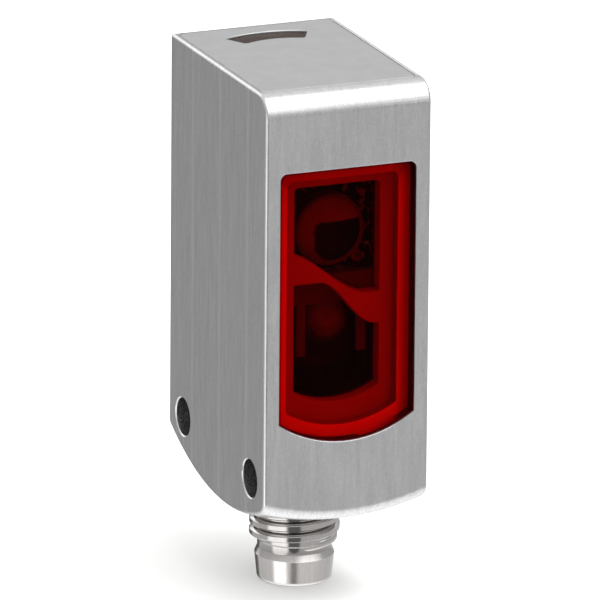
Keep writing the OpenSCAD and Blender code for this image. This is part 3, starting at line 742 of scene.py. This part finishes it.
# Brightness of the surroundings by the height of the direction, from straight down to straight up
SKY = [(-1.0, 2.2), (-0.75, 1.7), (-0.45, 0.88), (-0.25, 0.69), (-0.05, 0.55), (0.12, 0.65),
       (0.32, 0.73), (0.55, 1.15), (1.0, 1.3)]
SKY_PEAK = 2.2
# Each card: the way it stands from the part, where it starts and is full, what it does to the sky
CARDS = [
    (Vector((0, 0.954, -0.301)), (0.88, 0.99), 0.18),        # dark wall behind the table
    (Vector((0.386, -0.626, 0.678)), (0.70, 0.95), 2.2),     # large softbox over the front
    (Vector((-0.89, -0.38, -0.25)), (0.86, 0.95), 2.7),      # white board on the left
    (Vector((-0.30, 0.88, 0.37)), (0.90, 0.97), 2.4),        # strip light behind the left side
    (Vector((-0.37, -0.87, -0.33)), (0.94, 0.98), 0.25),     # dark room behind the camera
]


def make_surroundings():
    """Surroundings that depend on the direction only: a graded sky with a few cards in it."""
    scene = bpy.context.scene
    scene.view_settings.view_transform = "Standard"
    world = bpy.data.worlds.new("studio")
    world.use_nodes = True
    scene.world = world
    tree = world.node_tree
    tree.nodes.clear()
    place = add(tree, "ShaderNodeTexCoord")
    split = add(tree, "ShaderNodeSeparateXYZ", {0: place.outputs["Generated"]})
    height = add(tree, "ShaderNodeMapRange", {"Value": split.outputs["Z"], "From Min": -1.0,
                                              "From Max": 1.0})
    ramp = add(tree, "ShaderNodeValToRGB", {"Fac": height.outputs[0]})
    stops = ramp.color_ramp.elements
    for i, (z, bright) in enumerate(SKY):
        stop = stops[i] if i < 2 else stops.new((z + 1) / 2)
        if i < 2:
            stop.position = (z + 1) / 2
        stop.color = [bright / SKY_PEAK] * 3 + [1]
    level = 0.0
    for i, (way, spread, gain) in enumerate(CARDS):
        facing = add(tree, "ShaderNodeVectorMath", {0: place.outputs["Generated"], 1: way},
                     operation="DOT_PRODUCT")
        card = add(tree, "ShaderNodeMapRange", {"Value": facing.outputs["Value"],
                                                "From Min": spread[0], "From Max": spread[1],
                                                "To Min": 1.0, "To Max": gain},
                   interpolation_type="SMOOTHSTEP")
        before = level.outputs[0] if i else SKY_PEAK
        level = add(tree, "ShaderNodeMath", {0: card.outputs[0], 1: before},
                    operation="MULTIPLY")
    light = add(tree, "ShaderNodeBackground", {"Color": ramp.outputs["Color"],
                                               "Strength": level.outputs[0]})
    add(tree, "ShaderNodeOutputWorld", {"Surface": light.outputs[0]})


def make_softbox():
    """One area light over the right front."""
    soft = bpy.data.objects.new("overhead_softbox", bpy.data.lights.new("overhead", "AREA"))
    soft.data.shape = "RECTANGLE"
    soft.data.size = 0.30
    soft.data.size_y = 0.22
    soft.data.energy = 0.9
    soft.location = (0.12, -0.14, 0.42)
    aim = Vector((0, 0, 0.03)) - soft.location
    soft.rotation_euler = aim.to_track_quat("-Z", "Y").to_euler()
    bpy.context.scene.collection.objects.link(soft)


def make_table():
    """Pale table. Glossy rays pass it, so the steel mirrors the surroundings underneath."""
    bm = bmesh.new()
    bmesh.ops.create_grid(bm, x_segments=1, y_segments=1, size=3)
    floor = scratch_object(bm, "table")
    floor.data.materials.append(grained("matt_white_table", "#f2f2f1", "#f6f6f5", 40,
                                        (0.6, 0.8), relief=0.01))
    floor.visible_glossy = False


place_camera()
make_housing()
make_cover()
make_pane()
make_mask()
make_sender_lens()
make_receiver_lens()
make_connector_shell()
make_thread()
finish_nodes()
make_surroundings()
make_softbox()
make_table()
